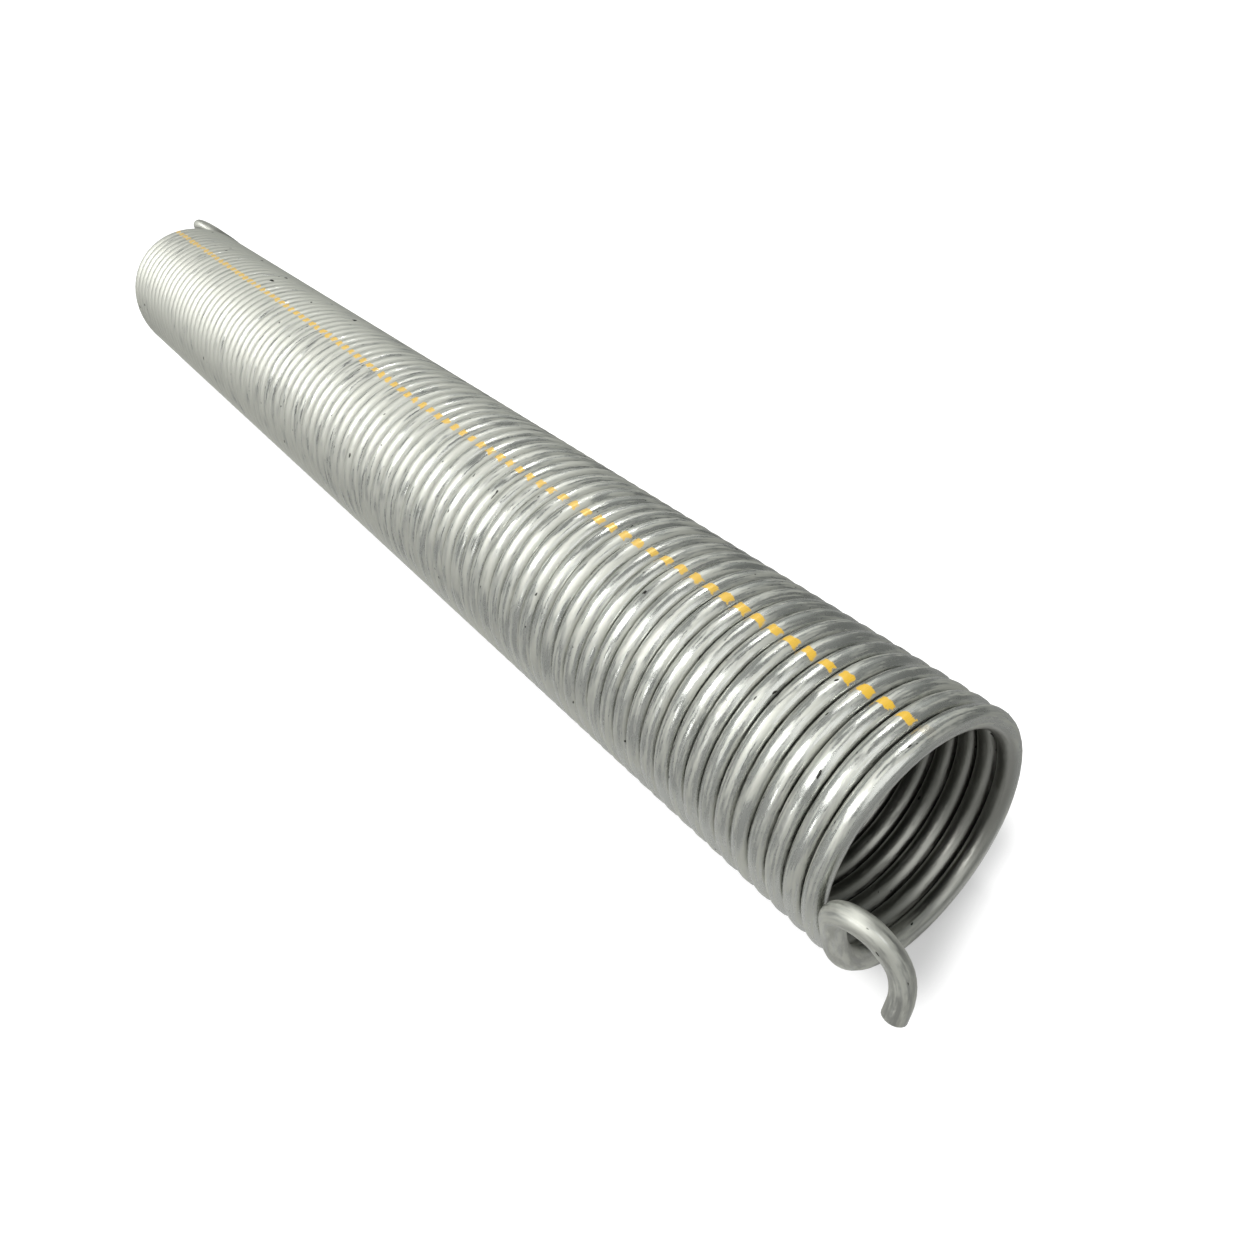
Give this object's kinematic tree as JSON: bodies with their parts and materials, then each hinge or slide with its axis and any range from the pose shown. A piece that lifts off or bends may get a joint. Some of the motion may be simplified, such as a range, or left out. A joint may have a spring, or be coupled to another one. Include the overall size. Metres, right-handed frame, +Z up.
{
  "type": "garage door torsion spring",
  "caption": "Close-wound left-hand torsion spring of round galvanised steel wire with a hook bent at each end, for turning a door's lifting shaft.",
  "frame": {"origin": "on the axis of the coil, halfway between its two faces", "axes": "+X along the coil's axis, towards the near end; +Z up as the spring lies on a floor; +Y completes the right-handed frame. The near hook is on the -Y side"},
  "size_m": [0.4908, 0.0622, 0.0609],
  "materials": {
    "zinc_wire": "satin"
  },
  "bodies": {
    "root": {"torsion_spring": "zinc_wire"}
  },
  "joints": []
}
